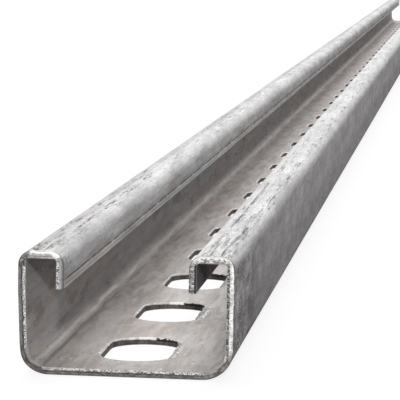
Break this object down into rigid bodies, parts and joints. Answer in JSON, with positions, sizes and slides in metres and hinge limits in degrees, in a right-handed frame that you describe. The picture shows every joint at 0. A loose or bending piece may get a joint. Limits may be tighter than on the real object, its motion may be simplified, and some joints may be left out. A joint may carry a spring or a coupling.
{
  "type": "perforated strut channel",
  "caption": "C-shaped strut channel of roll-formed steel strip with inturned lips and a row of long slots through its web, for bolted pipe and cable supports.",
  "frame": {"origin": "middle of the web's outer face, halfway along the length", "axes": "+Z from the web out through the mouth, +Y along the length, +X across to the right-hand wall"},
  "size_m": [0.041, 2, 0.0235],
  "materials": {
    "galvanised_steel": "dull galvanised, scuffed and lightly stained, with bright sheared ends"
  },
  "bodies": {
    "root": {"strut_channel": "galvanised_steel"}
  },
  "joints": []
}
